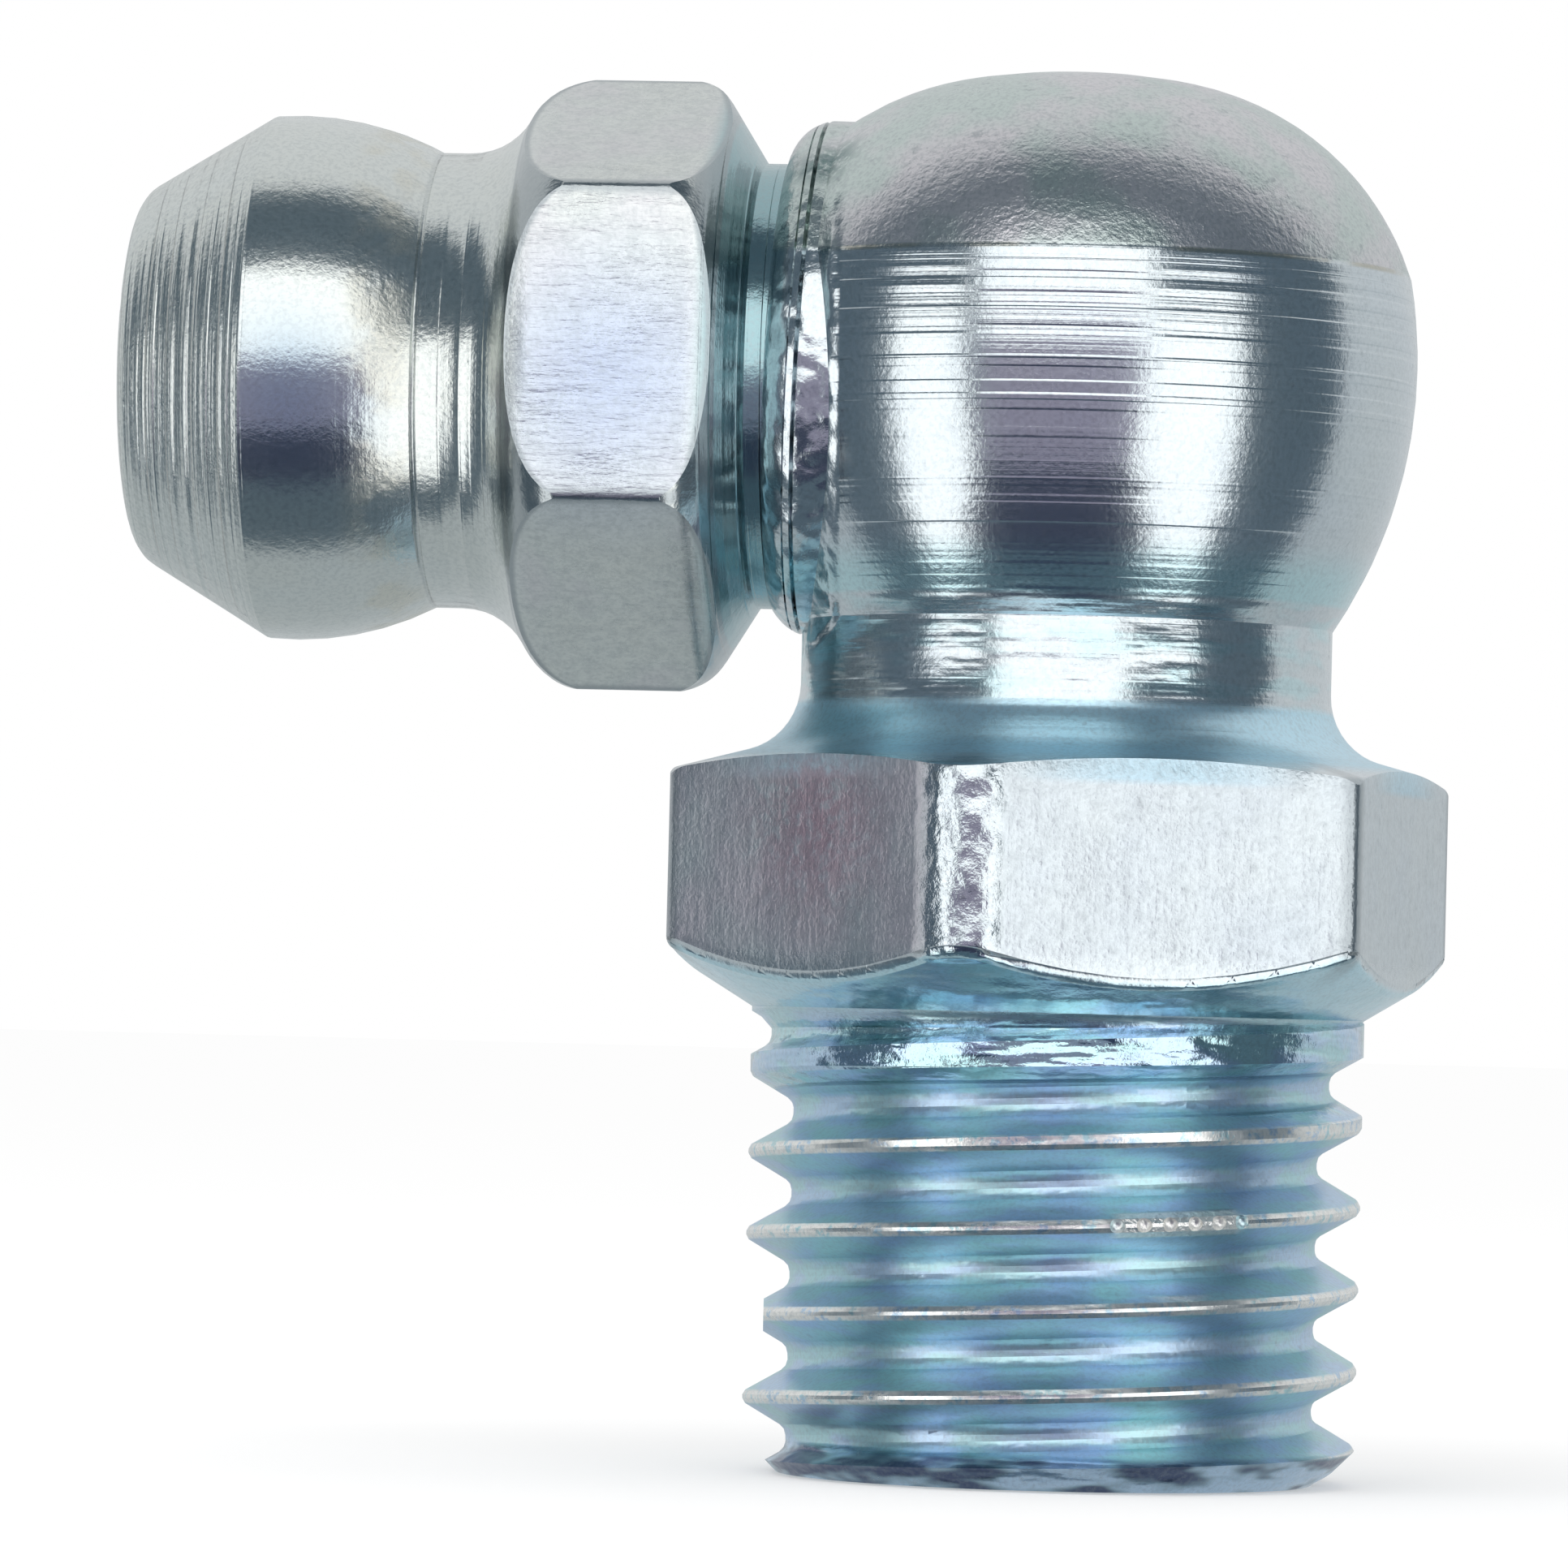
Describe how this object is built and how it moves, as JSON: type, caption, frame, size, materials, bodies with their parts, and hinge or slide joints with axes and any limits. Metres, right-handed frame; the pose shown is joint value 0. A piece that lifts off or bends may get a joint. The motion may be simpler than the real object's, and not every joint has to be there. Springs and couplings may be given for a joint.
{
  "type": "right-angle grease nipple",
  "caption": "Right-angle grease nipple: threaded stub with a hexagon and round head, and a spring-loaded ball-valve nipple screwed into its side.",
  "frame": {"origin": "centre of the threaded stub's end face, on the stub's axis", "axes": "+Z along the stub's axis from its end face up through the round head, -X along the nipple's axis towards its tip"},
  "size_m": [0.0172, 0.0101, 0.0182],
  "materials": {
    "plated_body": "bright blue zinc plating over turned and milled steel",
    "plated_nipple": "bright blue zinc plating over turned steel",
    "ball_steel": "polished hard steel",
    "spring_steel": "drawn spring wire"
  },
  "bodies": {
    "fitting": {"elbow_body": "plated_body", "nipple": "plated_nipple", "return_spring": "spring_steel"},
    "valve_ball": {"check_ball": "ball_steel"}
  },
  "joints": [
    {"name": "ball_valve", "type": "slide", "parent": "fitting", "child": "valve_ball", "axis": [1, 0, 0], "range_m": [0, 0.001], "stiffness_N_per_m": 600, "springref_m": -0.0005, "deforming": ["return_spring"]}
  ]
}
